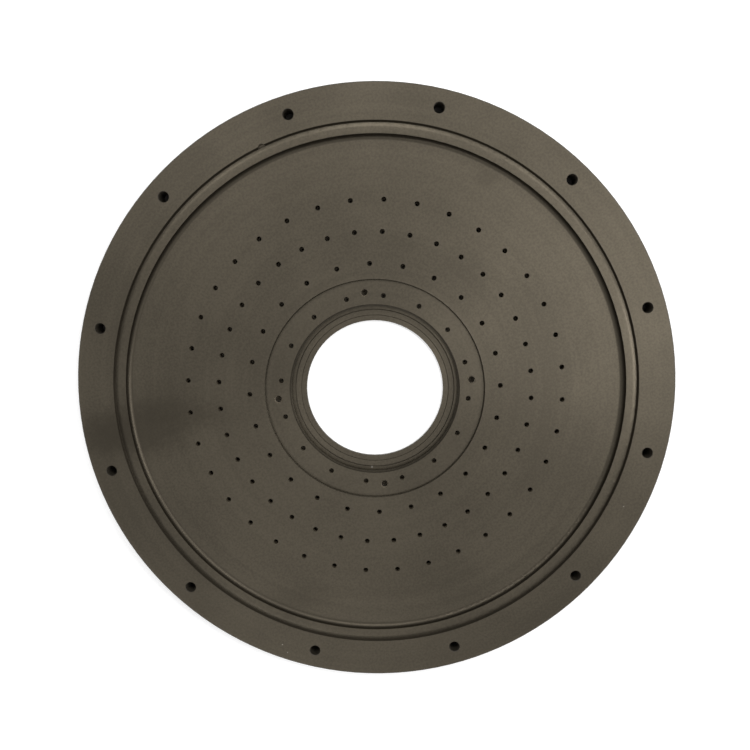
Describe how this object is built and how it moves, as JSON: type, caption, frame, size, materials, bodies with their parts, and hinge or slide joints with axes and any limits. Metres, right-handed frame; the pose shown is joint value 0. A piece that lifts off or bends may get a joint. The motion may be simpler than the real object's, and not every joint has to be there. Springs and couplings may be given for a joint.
{
  "type": "gas distribution showerhead",
  "caption": "Round gas showerhead plate with a bolting flange, seal groove, recessed field of stepped gas holes and a stepped centre bore in a lower hub.",
  "frame": {"origin": "centre of the flat outlet face, on the plate's axis", "axes": "+Z along the plate's axis from the outlet face to the seal side, +X through the first hole of the bolt circle and of every full gas ring"},
  "size_m": [0.3194, 0.3194, 0.012],
  "materials": {
    "anodised_plate": "dark hard-anodised, fine turned"
  },
  "bodies": {
    "root": {"showerhead_plate": "anodised_plate"}
  },
  "joints": []
}
